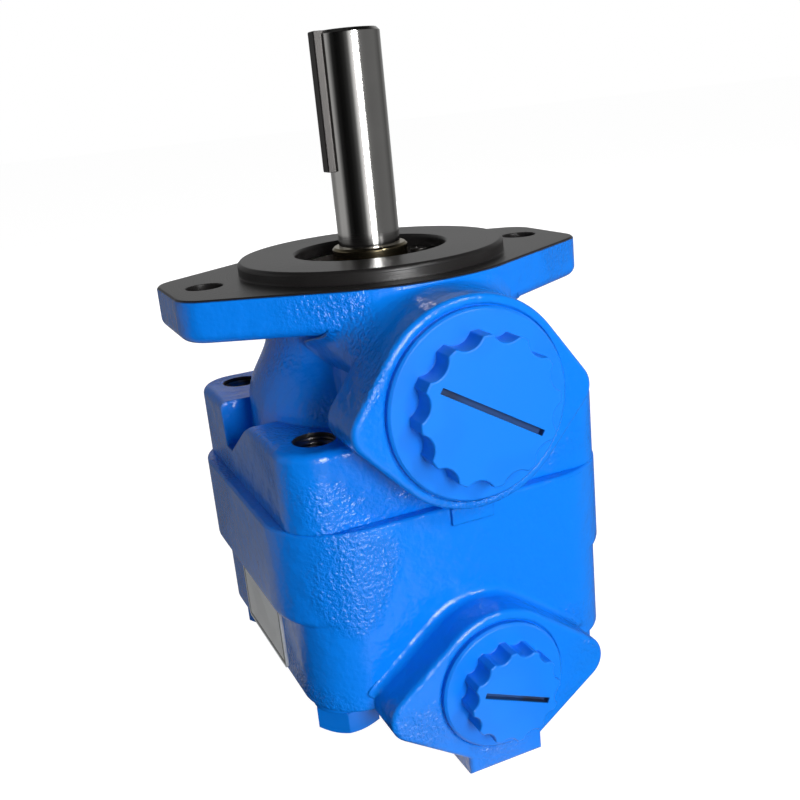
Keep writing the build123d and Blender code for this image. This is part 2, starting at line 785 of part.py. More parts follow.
# coil spring between the chamber's floor and the pressure plate
with BuildPart() as plate_spring:
    spring_h = plate_back_z - chamber_end_z - 2 * spring_wire_r
    with BuildLine(Plane.XY.offset(chamber_end_z + spring_wire_r)):
        coil = Helix(spring_h / spring_coils, spring_h, spring_mean_r)
    with BuildSketch(Plane(origin=coil @ 0, z_dir=coil % 0)):
        Circle(spring_wire_r)
    sweep(path=coil, is_frenet=True)
save(plate_spring.part, "plate_spring")

with BuildPart() as pins:
    with BuildSketch(Plane.XY.offset(joint_z + pin_in_body)):
        with PolarLocations(pin_at_r, 2):
            Circle(pin_r)
    extrude(amount=ring_end_z - pin_in_plate - joint_z - pin_in_body)
save(pins.part, "locating_pins")

# clamping screws from the rear, each with a split washer
with BuildPart() as screw_head:
    with BuildSketch(Plane.XY.offset(head_seat_z)):
        RegularPolygon(head_af / 2, 6, major_radius=False, rotation=head_turn)
    extrude(amount=-head_h)
    with BuildSketch(Plane.XZ):
        with BuildLine():
            Polyline(
                (0, head_seat_z), (head_corner_r, head_seat_z),
                (head_corner_r, head_seat_z - head_h + head_soft_h),
                (head_af / 2 - head_soft_w, head_seat_z - head_h), (0, head_seat_z - head_h),
                (0, head_seat_z),
            )
        make_face()
    revolve(axis=Axis.Z, mode=Mode.INTERSECT)
    with BuildSketch(Plane.XY.offset(head_seat_z)):
        Circle(screw_r)
    extrude(amount=screw_len)
    chamfer(screw_head.faces().sort_by(Axis.Z)[-1].edges(), screw_soft)

with BuildPart() as screws:
    with Locations(*[(x, y, 0) for x, y in corners]):
        add(screw_head.part)
save(screws.part, "cover_screws")

with BuildPart() as washers:
    with BuildSketch(Plane.XY.offset(head_seat_z)):
        with Locations(*corners):
            Circle(washer_outer_r)
            Circle(screw_r + washer_clear, mode=Mode.SUBTRACT)
            with Locations((washer_outer_r, 0)):
                Rectangle(2 * washer_outer_r, washer_gap, mode=Mode.SUBTRACT)
    extrude(amount=washer_t)
save(washers.part, "screw_washers")

inlet_plug = port_plug(
    inlet_face_y, inlet_z, inlet_plug_r, inlet_thread_r, inlet_plug_deep,
    inlet_knob_r, inlet_slot_len, inlet_slot_turn,
)
save(inlet_plug, "inlet_plug")

outlet_plug = port_plug(
    outlet_face_y, outlet_z, outlet_plug_r, outlet_thread_r, outlet_plug_deep,
    outlet_knob_r, outlet_slot_len, outlet_slot_turn,
)
save(outlet_plug, "outlet_plug")

# blank data plate, bonded to the cover's left side
with BuildPart() as data_plate:
    with BuildSketch(Plane.YZ.offset(-cover_half)):
        with Locations(((plate_y[0] + plate_y[1]) / 2, plate_mid_z)):
            RectangleRounded(plate_y[1] - plate_y[0], plate_z[0] - plate_z[1], plate_corner_r)
    extrude(amount=-plate_t)
save(data_plate.part, "data_plate")
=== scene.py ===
import math

import bmesh
import bpy
import numpy as np
from bpy.props import FloatProperty, FloatVectorProperty, IntProperty, PointerProperty
from mathutils import Matrix, Vector


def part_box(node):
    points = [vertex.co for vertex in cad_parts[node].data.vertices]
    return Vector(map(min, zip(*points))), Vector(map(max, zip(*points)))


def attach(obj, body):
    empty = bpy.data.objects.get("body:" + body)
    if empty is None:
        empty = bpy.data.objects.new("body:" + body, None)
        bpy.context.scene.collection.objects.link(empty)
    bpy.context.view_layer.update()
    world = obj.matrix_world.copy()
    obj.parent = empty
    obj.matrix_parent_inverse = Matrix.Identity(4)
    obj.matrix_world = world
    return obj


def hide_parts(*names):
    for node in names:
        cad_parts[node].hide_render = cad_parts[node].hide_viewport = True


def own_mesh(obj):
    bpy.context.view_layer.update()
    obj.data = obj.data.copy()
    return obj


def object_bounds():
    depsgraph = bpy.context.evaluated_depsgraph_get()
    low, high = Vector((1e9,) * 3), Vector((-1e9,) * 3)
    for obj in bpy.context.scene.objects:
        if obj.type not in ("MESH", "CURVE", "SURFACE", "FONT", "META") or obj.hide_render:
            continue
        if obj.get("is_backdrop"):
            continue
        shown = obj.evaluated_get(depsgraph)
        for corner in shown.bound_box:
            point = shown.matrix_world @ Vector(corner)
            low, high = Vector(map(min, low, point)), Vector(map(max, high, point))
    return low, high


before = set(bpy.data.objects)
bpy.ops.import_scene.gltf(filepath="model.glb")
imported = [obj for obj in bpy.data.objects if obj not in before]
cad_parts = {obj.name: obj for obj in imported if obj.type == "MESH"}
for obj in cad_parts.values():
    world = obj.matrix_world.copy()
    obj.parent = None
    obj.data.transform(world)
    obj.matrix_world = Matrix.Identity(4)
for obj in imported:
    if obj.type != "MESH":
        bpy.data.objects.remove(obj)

bl_info = {
    "name": "Vane pump looks",
    "version": (1, 0, 0),
    "blender": (4, 5, 0),
    "location": "3D View > Sidebar > Pump",
    "description": "Finishes, tapped threads and a pale studio for a flange mounted vane pump",
    "category": "Object",
}

VANES = ["vane_%02d" % (i + 1) for i in range(12)]

# Places on the castings that finishes and blends follow, in metres. Z is the shaft's axis with 0 at
# the mounting face, and both ports open towards -Y.
MOUNTING_FACE = -0.0003         # paint ends this far below the face
JOINT_Z = -0.0637               # the plane where both castings meet
JOINT_HALF = 0.0440             # half width of the machined faces there
SCREW_AT = 0.0375               # clamping screws, from both middle planes
BOLT_AT = 0.0532                # mounting holes, from the middle plane
BOLT_HOLE_R, BOLT_HOLE_END = 0.0057, -0.0128
EAR_HOLE_R, EAR_HOLE_TOP = 0.0061, -0.0403
SCREW_HOLE_R = 0.0069
NECK_INSIDE_R = 0.0330          # what lies nearer to the axis is inside the front casting
RING_BORE_R, RING_BORE_END = 0.0384, -0.1036
CHAMBER_R, CHAMBER_END = 0.0284, -0.1285
INLET_Z, OUTLET_Z = -0.0316, -0.1153
# height, radius, mouth and floor of each port and of the core behind it
INLET_HOLES = ((INLET_Z, 0.0210, -0.0647, -0.0430), (-0.0370, 0.0150, -0.0440, -0.0300))
OUTLET_HOLES = ((OUTLET_Z, 0.0140, -0.0665, -0.0478), (-0.1180, 0.0093, -0.0490, -0.0270))
# circles (x, z, radius) round which each boss's outline is drawn, from the port's axis
INLET_LOBES = ((0, 0, 0.0296), (-0.0288, -0.0016, 0.0072), (0.0288, -0.0016, 0.0072))
OUTLET_LOBES = ((0, 0, 0.0224), (-0.0273, -0.0020, 0.0073), (0.0273, -0.0020, 0.0073))

ENAMEL_SPECULAR = 0.42          # of paint and plastic alike
SOFT_STEP = 0.0002              # over which a finish changes into the next


# Node helpers

def add(tree, kind, sockets=None, **settings):
    """One node with its settings; sockets maps an input to a value or to the output feeding it."""
    made = tree.nodes.new(kind)
    for key, value in settings.items():
        setattr(made, key, value)
    for key, value in (sockets or {}).items():
        if isinstance(value, bpy.types.NodeSocket):
            tree.links.new(value, made.inputs[key])
        else:
            made.inputs[key].default_value = value
    return made


def math_node(tree, operation, a, b=0.0, c=0.0):
    return add(tree, "ShaderNodeMath", {0: a, 1: b, 2: c}, operation=operation).outputs[0]


def fade(tree, value, low, high):
    """0 below low, 1 above high and a smooth step between; low may lie above high."""
    made = add(tree, "ShaderNodeMapRange", {"Value": value, "From Min": low, "From Max": high},
               interpolation_type="SMOOTHSTEP")
    return made.outputs["Result"]


def shaded(colour, level=1.0):
    """The colour at a lighter or darker level, with full alpha."""
    return tuple(min(c * level, 1.0) for c in colour) + (1.0,)


def blend_colours(tree, share, a, b):
    made = add(tree, "ShaderNodeMix", {0: share, 6: a, 7: b}, data_type="RGBA")
    return made.outputs[2]


def blend_values(tree, share, a, b):
    made = add(tree, "ShaderNodeMix", {0: share, 2: a, 3: b}, data_type="FLOAT")
    return made.outputs[0]


def new_group(name, inputs, outputs):
    """An empty shader node group with named sockets; gives the group, its input and its output."""
    group = bpy.data.node_groups.new(name, "ShaderNodeTree")
    for label, kind, default in inputs:
        made = group.interface.new_socket(label, in_out="INPUT", socket_type=kind)
        if default is not None:
            made.default_value = default
    for label, kind in outputs:
        group.interface.new_socket(label, in_out="OUTPUT", socket_type=kind)
    return group, group.nodes.new("NodeGroupInput"), group.nodes.new("NodeGroupOutput")


def fill_group(tree, group, sockets):
    return add(tree, "ShaderNodeGroup", sockets, node_tree=group)


FLOAT, VECTOR = "NodeSocketFloat", "NodeSocketVector"


def shared(name, build):
    """The node group of that name, built the first time it is asked for."""
    return bpy.data.node_groups.get(name) or build(name)


def cast_surface(name):
    """Sand cast skin: fine grain on broad dents, and slow patches where the skin is smoother."""
    group, given, result = new_group(
        name,
        [("Vector", VECTOR, None), ("Grain", FLOAT, 700.0), ("Patch", FLOAT, 28.0)],
        [("Height", FLOAT), ("Patches", FLOAT)],
    )
    fine = add(group, "ShaderNodeTexNoise", {"Vector": given.outputs["Vector"],
               "Scale": given.outputs["Grain"], "Detail": 2.5, "Roughness": 0.5})
    broad_scale = math_node(group, "MULTIPLY", given.outputs["Grain"], 0.22)
    broad = add(group, "ShaderNodeTexNoise", {"Vector": given.outputs["Vector"],
                "Scale": broad_scale, "Detail": 2.0, "Roughness": 0.5})
    patch = add(group, "ShaderNodeTexNoise", {"Vector": given.outputs["Vector"],
                "Scale": given.outputs["Patch"], "Detail": 1.0})
    patches = fade(group, patch.outputs["Fac"], 0.47, 0.60)
    strength = blend_values(group, patches, 0.12, 0.95)
    grain = math_node(group, "MULTIPLY", fine.outputs["Fac"], strength)
    height = math_node(group, "MULTIPLY_ADD", broad.outputs["Fac"], 0.6, grain)
    group.links.new(height, result.inputs["Height"])
    group.links.new(patches, result.inputs["Patches"])
    return group


def turned_lines(name):
    """Fine lines left by a turning tool, circles round Z on faces and on sides alike."""
    group, given, result = new_group(
        name,
        [("Vector", VECTOR, None), ("Lines", FLOAT, 4000.0)],
        [("Height", FLOAT), ("Tint", FLOAT)],
    )
    parts = add(group, "ShaderNodeSeparateXYZ", {0: given.outputs["Vector"]})
    square = math_node(group, "MULTIPLY", parts.outputs["X"], parts.outputs["X"])
    radius = math_node(group, "SQRT", math_node(group, "MULTIPLY_ADD", parts.outputs["Y"],
                                                parts.outputs["Y"], square))
    along = math_node(group, "ADD", parts.outputs["Z"], radius)
    lines = add(group, "ShaderNodeTexNoise", {"W": along, "Scale": given.outputs["Lines"],
                "Detail": 2.0}, noise_dimensions="1D")
    cloud = add(group, "ShaderNodeTexNoise", {"Vector": given.outputs["Vector"], "Scale": 90.0,
                "Detail": 3.0})
    group.links.new(lines.outputs["Fac"], result.inputs["Height"])
    group.links.new(cloud.outputs["Fac"], result.inputs["Tint"])
    return group


# level of the room's walls in reflections, at each azimuth in degrees from -Y towards +X
ROOM = ((-180, 0.22), (-150, 0.21), (-132, 0.38), (-107, 0.38), (-97, 0.14), (-88, 0.017),
        (-71, 0.004), (-55, 0.007), (-40, 0.024), (-26, 0.12), (-15, 0.85), (-10, 1.0), (1, 1.0),
        (8, 0.7), (16, 0.16), (38, 0.146), (78, 0.16), (105, 0.10), (130, 0.25), (150, 0.44),
        (165, 0.42), (180, 0.34))


def room_walls(name):
    """What reflections see round the pump: the level of ROOM for the azimuth of a direction."""
    group, given, result = new_group(name, [("Direction", VECTOR, None)], [("Level", FLOAT)])
    parts = add(group, "ShaderNodeSeparateXYZ", {0: given.outputs["Direction"]})
    turn = math_node(group, "ARCTAN2", parts.outputs["X"], math_node(
        group, "MULTIPLY", parts.outputs["Y"], -1.0))
    share = math_node(group, "MULTIPLY_ADD", turn, 1 / (2 * math.pi), 0.5)
    walls = add(group, "ShaderNodeValToRGB", {"Fac": share})
    ramp = walls.color_ramp
    while len(ramp.elements) < len(ROOM):
        ramp.elements.new(0.5)
    for element, (azimuth, level) in zip(ramp.elements, ROOM):
        element.position = azimuth / 360 + 0.5
        element.color = (level, level, level, 1.0)
    group.links.new(walls.outputs["Color"], result.inputs["Level"])
    return group


def distance_to_axis(tree, parts, first, second, centre, mirrored=False):
    """Distance from a line along the third axis; mirrored lines lie on all four sides."""
    sides = [parts.outputs[first], parts.outputs[second]]
    if mirrored:
        sides = [math_node(tree, "ABSOLUTE", side) for side in sides]
    a, b = (math_node(tree, "SUBTRACT", side, place) for side, place in zip(sides, centre))
    square = math_node(tree, "MULTIPLY_ADD", a, a, math_node(tree, "MULTIPLY", b, b))
    return math_node(tree, "SQRT", square)


def within(tree, value, limit):
    """1 below the limit, 0 above it."""
    return fade(tree, value, limit + SOFT_STEP, limit)


def above(tree, value, limit, step):
    """0 below the limit, 1 from one step above it."""
    return fade(tree, value, limit, limit + step)


def any_of(tree, *masks):
    result = masks[0]
    for mask in masks[1:]:
        result = math_node(tree, "MAXIMUM", result, mask)
    return result


def both(tree, a, b):
    return math_node(tree, "MULTIPLY", a, b)


# Materials

def new_material(name):
    made = bpy.data.materials.new(name)
    made.use_nodes = True
    tree = made.node_tree
    shader = tree.nodes["Principled BSDF"]
    where = add(tree, "ShaderNodeTexCoord").outputs["Object"]
    return made, tree, shader, where


def bumped(tree, shader, height, distance, softened):
    """Feeds a height to the shader's normal, over edges that are softened by a small radius."""
    edges = add(tree, "ShaderNodeBevel", {"Radius": softened}, samples=4)
    bump = add(tree, "ShaderNodeBump", {"Height": height, "Distance": distance, "Strength": 1.0,
               "Normal": edges.outputs[0]})
    tree.links.new(bump.outputs[0], shader.inputs["Normal"])


def casting_material(name, settings, bare_mask):
    """Glossy enamel over a cast skin, with bare oiled iron where bare_mask gives 1."""
    iron_roughness, tool_marks = 0.3, 0.08
    made, tree, shader, where = new_material(name)
    skin = fill_group(tree, shared("cast_surface", cast_surface), {
        "Vector": where, "Grain": 1.0 / settings.grain_size, "Patch": 26.0})
    lines = fill_group(tree, shared("turned_lines", turned_lines), {
        "Vector": where, "Lines": 1800.0})
    bare = bare_mask(tree, add(tree, "ShaderNodeSeparateXYZ", {0: where}))
    paint = blend_colours(tree, skin.outputs["Patches"], shaded(settings.colour),
                          shaded(settings.colour, 0.94))
    iron = blend_colours(tree, lines.outputs["Tint"], shaded(settings.bare, 0.8),
                         shaded(settings.bare, 1.25))
    tree.links.new(blend_colours(tree, bare, paint, iron), shader.inputs["Base Color"])
    tree.links.new(blend_values(tree, bare, settings.roughness, iron_roughness),
                   shader.inputs["Roughness"])
    turned = math_node(tree, "MULTIPLY", lines.outputs["Height"], tool_marks)
    height = blend_values(tree, bare, skin.outputs["Height"], turned)
    shader.inputs["Specular IOR Level"].default_value = ENAMEL_SPECULAR
    bumped(tree, shader, height, settings.grain_depth, settings.soft)
    return made


def steel_material(name, colour, roughness, lines=4200.0, depth=0.000004, soft=0.0003):
    """Turned or ground steel: lines round the shaft's axis and a faint cloudy tint."""
    made, tree, shader, where = new_material(name)
    work = fill_group(tree, shared("turned_lines", turned_lines), {
        "Vector": where, "Lines": lines})
    tint = blend_colours(tree, work.outputs["Tint"], shaded(colour, 0.88), shaded(colour, 1.08))
    tree.links.new(tint, shader.inputs["Base Color"])
    shader.inputs["Metallic"].default_value = 1.0
    rough = add(tree, "ShaderNodeMapRange", {"Value": work.outputs["Tint"],
                "To Min": roughness * 0.8, "To Max": roughness * 1.2})
    tree.links.new(rough.outputs["Result"], shader.inputs["Roughness"])
    bumped(tree, shader, work.outputs["Height"], depth, soft)
    return made


def grained_material(name, colour, roughness, grain, depth, soft=0.0004):
    """A dull surface, such as rubber or painted steel, with an even fine grain."""
    made, tree, shader, where = new_material(name)
    skin = fill_group(tree, shared("cast_surface", cast_surface), {
        "Vector": where, "Grain": grain, "Patch": 45.0})
    base = blend_colours(tree, skin.outputs["Patches"], shaded(colour), shaded(colour, 0.9))
    tree.links.new(base, shader.inputs["Base Color"])
    rough = add(tree, "ShaderNodeMapRange", {"Value": skin.outputs["Patches"],
                "To Min": roughness * 0.9, "To Max": roughness * 1.15})
    tree.links.new(rough.outputs["Result"], shader.inputs["Roughness"])
    bumped(tree, shader, skin.outputs["Height"], depth, soft)
    return made


def plug_material(name, settings, middle, front, slot_half):
    """Moulded plastic, with painted shade darkening the driver slot that is sunk into the knob's
    face.
    """
    # Painted shade: inside the sunk slot the colour is darkened almost to black blue, and the slot
    # is also rougher.
    slot_shade_colour, slot_roughness = (0.012, 0.02, 0.045, 1.0), 0.7
    made, tree, shader, where = new_material(name)
    parts = add(tree, "ShaderNodeSeparateXYZ", {0: where})
    skin = fill_group(tree, shared("cast_surface", cast_surface), {
        "Vector": where, "Grain": 450.0, "Patch": 60.0})
    across = distance_to_axis(tree, parts, "X", "Z", middle)
    slot = both(tree, within(tree, across, slot_half),
                fade(tree, parts.outputs["Y"], front + 0.0001, front + 0.0008))
    # painted shade in the slot, made a little uneven by the skin's patches
    slot_shade = math_node(tree, "MULTIPLY", slot,
                      blend_values(tree, skin.outputs["Patches"], 0.8, 0.96))
    base = blend_colours(tree, skin.outputs["Patches"], shaded(settings.colour),
                         shaded(settings.colour, 0.95))
    tree.links.new(blend_colours(tree, slot_shade, base, slot_shade_colour), shader.inputs["Base Color"])
    tree.links.new(blend_values(tree, slot, settings.roughness, slot_roughness),
                   shader.inputs["Roughness"])
    shader.inputs["Specular IOR Level"].default_value = ENAMEL_SPECULAR
    bumped(tree, shader, skin.outputs["Height"], 0.00003, 0.0005)
    return made


def plate_material(name, settings, low, high):
    """Pale lacquered sheet with a printed dark line inside its edge and nothing else on it."""
    ink, sheet_roughness, ink_roughness = (0.02, 0.022, 0.026, 1.0), 0.38, 0.3
    step = 0.0001
    made, tree, shader, where = new_material(name)
    parts = add(tree, "ShaderNodeSeparateXYZ", {0: where})
    inside = []
    for axis in (1, 2):
        middle, half = (low[axis] + high[axis]) / 2, (high[axis] - low[axis]) / 2
        off = math_node(tree, "ABSOLUTE", math_node(tree, "SUBTRACT", parts.outputs[axis], middle))
        inside.append(math_node(tree, "SUBTRACT", half, off))
    edge = math_node(tree, "MINIMUM", inside[0], inside[1])
    outer = settings.line_inset
    inner = outer + settings.line_width
    line = both(tree, above(tree, edge, outer, step), fade(tree, edge, inner + step, inner))
    skin = fill_group(tree, shared("cast_surface", cast_surface), {
        "Vector": where, "Grain": 900.0, "Patch": 60.0})
    sheet = blend_colours(tree, skin.outputs["Patches"], shaded(settings.colour),
                          shaded(settings.colour, 0.9))
    tree.links.new(blend_colours(tree, line, sheet, ink), shader.inputs["Base Color"])
    tree.links.new(blend_values(tree, line, sheet_roughness, ink_roughness),
                   shader.inputs["Roughness"])
    bumped(tree, shader, skin.outputs["Height"], 0.000006, 0.0002)
    return made


def dress(material, *nodes):
    """Puts a material on carried over CAD nodes; their meshes stay as they are."""
    for name in nodes:
        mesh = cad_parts[name].data
        mesh.materials.clear()
        mesh.materials.append(material)


# New surfaces

def linked_piece(name, vertices, quads):
    """A smooth mesh at the origin from arrays of vertices and quads, linked to the scene."""
    mesh = bpy.data.meshes.new(name)
    mesh.from_pydata(vertices.tolist(), [], quads.tolist())
    mesh.polygons.foreach_set("use_smooth", np.ones(len(quads), dtype=bool))
    mesh.update()
    piece = bpy.data.objects.new(name, mesh)
    bpy.context.scene.collection.objects.link(piece)
    return piece


def closed_grid(name, points):
    """A piece from points[u, v] on a grid that closes on itself both ways. The sum of a.(b x c)
    over its faces is their volume; where it is negative, the faces are turned outwards."""
    count_u, count_v = points.shape[:2]
    u, v = np.meshgrid(np.arange(count_u), np.arange(count_v), indexing="ij")
    nu, nv = (u + 1) % count_u, (v + 1) % count_v
    quads = np.stack([u * count_v + v, nu * count_v + v, nu * count_v + nv, u * count_v + nv], -1)
    quads = quads.reshape(-1, 4)
    flat = points.reshape(-1, 3)
    a, b, c, d = (flat[quads[:, k]] for k in range(4))
    volume = np.einsum("ij,ij->", a, np.cross(b, c)) + np.einsum("ij,ij->", a, np.cross(c, d))
    return linked_piece(name, flat, quads[:, ::-1] if volume < 0 else quads)


def thread_points(centre, top, end, wall, depth, pitch, around, along):
    """Inside thread as a closed band. At angle t and height z the inner radius is the wall's
    radius less the depth times a flat topped wave of z / pitch - t / turn, faded out at both
    ends; the band then comes back down just inside the wall."""
    skin, flat_top = 0.00004, 1.35
    t = np.linspace(0, 2 * np.pi, around, endpoint=False)[:, None]
    z = np.linspace(end, top, along)[None, :]
    wave = np.abs((z / pitch - t / (2 * np.pi)) % 1.0 - 0.5) * 2
    crest = np.clip(wave * flat_top, 0, 1)
    ends = np.clip(np.minimum(z - end, top - z) / pitch, 0, 1)
    inner = wall - skin - depth * crest * ends
    back = np.full((around, 2), wall - skin / 2)
    radius = np.concatenate([inner, back], 1)
    height = np.concatenate([np.repeat(z, around, 0), np.tile([[top, end]], (around, 1))], 1)
    return np.stack([centre[0] + radius * np.cos(t), centre[1] + radius * np.sin(t), height], -1)


def lobed_radius(t, circles):
    """Distance from the boss's axis to its outline at angle t. The outline is drawn tight round
    circles (x, z, r); its support at angle p is the largest x cos p + z sin p + r, and the
    distance is the least support / cos(t - p)."""
    grazing = 0.05
    p = np.linspace(0, 2 * np.pi, 1440, endpoint=False)
    support = np.max([x * np.cos(p) + z * np.sin(p) + r for x, z, r in circles], 0)
    across = np.cos(t - p)
    reach = np.where(across > grazing, support / np.maximum(across, grazing), np.inf)
    return reach.min(-1, keepdims=True)


def smooth_step(value, low, high):
    """0 at low and 1 at high; between them the share u gives u u (3 - 2 u)."""
    share = np.clip((value - low) / (high - low), 0, 1)
    return share * share * (3 - 2 * share)


def neck_front(x, z):
    """Depth of the front casting behind the inlet boss: the neck's circle of radius R(z) below
    the flange, the flange's middle circle and straight sides above, and a slow change between."""
    heights = [-0.0400, -0.0325, -0.0265, -0.0200, -0.0140, -0.0115]
    radii = [0.0432, 0.0416, 0.0382, 0.0355, 0.0358, 0.0374]
    neck = -np.sqrt(np.maximum(np.interp(z, heights, radii) ** 2 - x ** 2, 0))
    middle = 0.048
    lean = math.radians(60)
    arc = -np.sqrt(np.maximum(middle ** 2 - x ** 2, 0))
    side = -(middle - np.abs(x) * math.cos(lean)) / math.sin(lean)
    flange = np.where(np.abs(x) < middle * math.cos(lean), arc, side)
    share = smooth_step(z, -0.0190, -0.0110)
    return neck * (1 - share) + flange * share


def cover_front(x, z):
    """Depth of the rear casting's flat rim behind the outlet boss: the same everywhere."""
    return np.full_like(x * z, -0.0540)


def root_blend(centre_z, circles, start, reach, base, buried, top, sides, around=240, along=18):
    """Concave blend round the upper root of a lobed boss, a closed band 1 mm thick. At angle t it
    runs in s from the boss's side at depth start to reach farther out on the base surface, on
    the parabola whose middle point is the corner; outside the angles sides it is buried in the
    wall, and it ends at height top above the boss's axis."""
    skin, wall, fading = 0.00006, 0.001, math.radians(18)
    t = np.linspace(0, 2 * np.pi, around, endpoint=False)[:, None]
    s = np.linspace(0, 1, along)[None, :]
    low, high = (math.radians(side) for side in sides)
    shown = smooth_step(t, low - fading, low) * smooth_step(-t, -high - fading, -high)
    inner = buried + (lobed_radius(t, circles) - skin - buried) * shown
    room = np.where(np.sin(t) > 0.2, top / np.maximum(np.sin(t), 0.2) - inner, reach)
    grow = np.clip(np.minimum(reach, room), 0, None) * shown
    radius = inner + grow * s ** 2
    corner = base(inner * np.cos(t), centre_z + inner * np.sin(t)) + skin
    end = base((inner + grow) * np.cos(t), centre_z + (inner + grow) * np.sin(t)) + skin
    depth = (1 - s) ** 2 * start + 2 * s * (1 - s) * corner + s ** 2 * end
    radius = np.concatenate([radius, (radius - wall)[:, ::-1]], 1)
    depth = np.concatenate([depth, (depth + wall)[:, ::-1]], 1)
    return np.stack([radius * np.cos(t), depth, centre_z + radius * np.sin(t)], -1)


def coil_spring(name, low, high, mean_r, wire_r, coils, along=336, around=14):
    """Round wire along a helix: the centre line at share u is mean_r (cos, sin)(2 pi coils u)
    with z rising evenly, and the wire's circle closes to a point at both ends."""
    u = np.linspace(0, 1, along)[:, None]
    v = np.linspace(0, 2 * np.pi, around, endpoint=False)[None, :]
    turn = 2 * np.pi * coils * u
    rise = high - low
    slope = math.atan2(rise, 2 * np.pi * coils * mean_r)
    thick = wire_r * (1 - np.clip(np.abs(2 * u - 1) * (along - 1) - (along - 2), 0, 1))
    out, up = thick * np.cos(v), thick * np.sin(v)
    radius = mean_r + out
    x = radius * np.cos(turn) + up * math.sin(slope) * np.sin(turn)
    y = radius * np.sin(turn) - up * math.sin(slope) * np.cos(turn)
    z = low + rise * u + up * math.cos(slope)
    i, j = np.meshgrid(np.arange(along - 1) * around, np.arange(around), indexing="ij")
    k = (j + 1) % around
    quads = np.stack([i + j, i + around + j, i + around + k, i + k], -1).reshape(-1, 4)
    piece = linked_piece(name, np.stack([x, y, z], -1).reshape(-1, 3), quads)
    work = bmesh.new()
    work.from_mesh(piece.data)
    bmesh.ops.remove_doubles(work, verts=work.verts, dist=1e-7)
    bmesh.ops.recalc_face_normals(work, faces=work.faces)
    work.to_mesh(piece.data)
    work.free()
    return piece


# Settings

class PumpPaintSettings(bpy.types.PropertyGroup):
    colour: FloatVectorProperty(
        name="Paint", description="Enamel on the castings", subtype="COLOR", size=3, min=0, max=1,
        default=(0.002, 0.195, 0.80))
    bare: FloatVectorProperty(
        name="Bare iron", description="Oiled iron on the mounting face and in bores",
        subtype="COLOR", size=3, min=0, max=1, default=(0.014, 0.013, 0.013))
    roughness: FloatProperty(
        name="Roughness", description="Roughness of the enamel", subtype="FACTOR", min=0, max=1,
        default=0.15)
    grain_size: FloatProperty(
        name="Grain", description="Size of the casting's grain", subtype="DISTANCE",
        unit="LENGTH", default=0.0011)
    grain_depth: FloatProperty(
        name="Grain depth", description="Depth of the grain under the paint", subtype="DISTANCE",
        unit="LENGTH", default=0.0008)
    soft: FloatProperty(
        name="Soft edges", description="Radius of the castings' softened edges",
        subtype="DISTANCE", unit="LENGTH", default=0.0009)


class PumpSteelSettings(bpy.types.PropertyGroup):
    shaft: FloatVectorProperty(
        name="Shaft", description="Ground steel of the shaft", subtype="COLOR", size=3, min=0,
        max=1, default=(0.70, 0.69, 0.67))
    collar: FloatVectorProperty(
        name="Collar", description="Straw tinted steel of the collar", subtype="COLOR", size=3,
        min=0, max=1, default=(0.32, 0.27, 0.17))
    key: FloatVectorProperty(
        name="Key", description="Drawn steel of the key", subtype="COLOR", size=3, min=0, max=1,
        default=(0.075, 0.072, 0.07))
    roughness: FloatProperty(
        name="Roughness", description="Roughness of the ground shaft", subtype="FACTOR", min=0,
        max=1, default=0.1)


class PumpPlugSettings(bpy.types.PropertyGroup):
    colour: FloatVectorProperty(
        name="Plastic", description="Moulded plastic of both plugs", subtype="COLOR", size=3,
        min=0, max=1, default=(0.003, 0.200, 0.84))
    roughness: FloatProperty(
        name="Roughness", description="Roughness of the plastic", subtype="FACTOR", min=0, max=1,
        default=0.3)


class PumpPlateSettings(bpy.types.PropertyGroup):
    colour: FloatVectorProperty(
        name="Sheet", description="Lacquered sheet of the data plate", subtype="COLOR", size=3,
        min=0, max=1, default=(0.86, 0.88, 0.88))
    line_inset: FloatProperty(
        name="Line inset", description="From the plate's edge to the printed line",
        subtype="DISTANCE", unit="LENGTH", default=0.0008)
    line_width: FloatProperty(
        name="Line width", description="Width of the printed line", subtype="DISTANCE",
        unit="LENGTH", default=0.0011)


class PumpThreadSettings(bpy.types.PropertyGroup):
    pitch: FloatProperty(
        name="Pitch", description="Pitch of the threads in the ears", subtype="DISTANCE",
        unit="LENGTH", default=0.00175)
    depth: FloatProperty(
        name="Depth", description="Depth of the threads in the ears", subtype="DISTANCE",
        unit="LENGTH", default=0.0007)
    hole: FloatProperty(
        name="Hole radius", description="Radius of the holes in the ears", subtype="DISTANCE",
        unit="LENGTH", default=0.006)
    spread: FloatProperty(
        name="Hole place", description="Distance of each hole from the middle planes",
        subtype="DISTANCE", unit="LENGTH", default=SCREW_AT)
    top: FloatProperty(
        name="Top", description="Height of the thread's upper end", subtype="DISTANCE",
        unit="LENGTH", default=-0.0416)
    end: FloatProperty(
        name="End", description="Height of the thread's lower end, above the screw",
        subtype="DISTANCE", unit="LENGTH", default=-0.0466)
    around: IntProperty(
        name="Steps around", description="Grid steps round each hole", min=12, default=72)


class PumpBlendSettings(bpy.types.PropertyGroup):
    inlet: FloatProperty(
        name="Inlet blend", description="Reach of the blend round the inlet boss",
        subtype="DISTANCE", unit="LENGTH", default=0.0070)
    outlet: FloatProperty(
        name="Outlet blend", description="Reach of the blend round the outlet boss",
        subtype="DISTANCE", unit="LENGTH", default=0.0030)


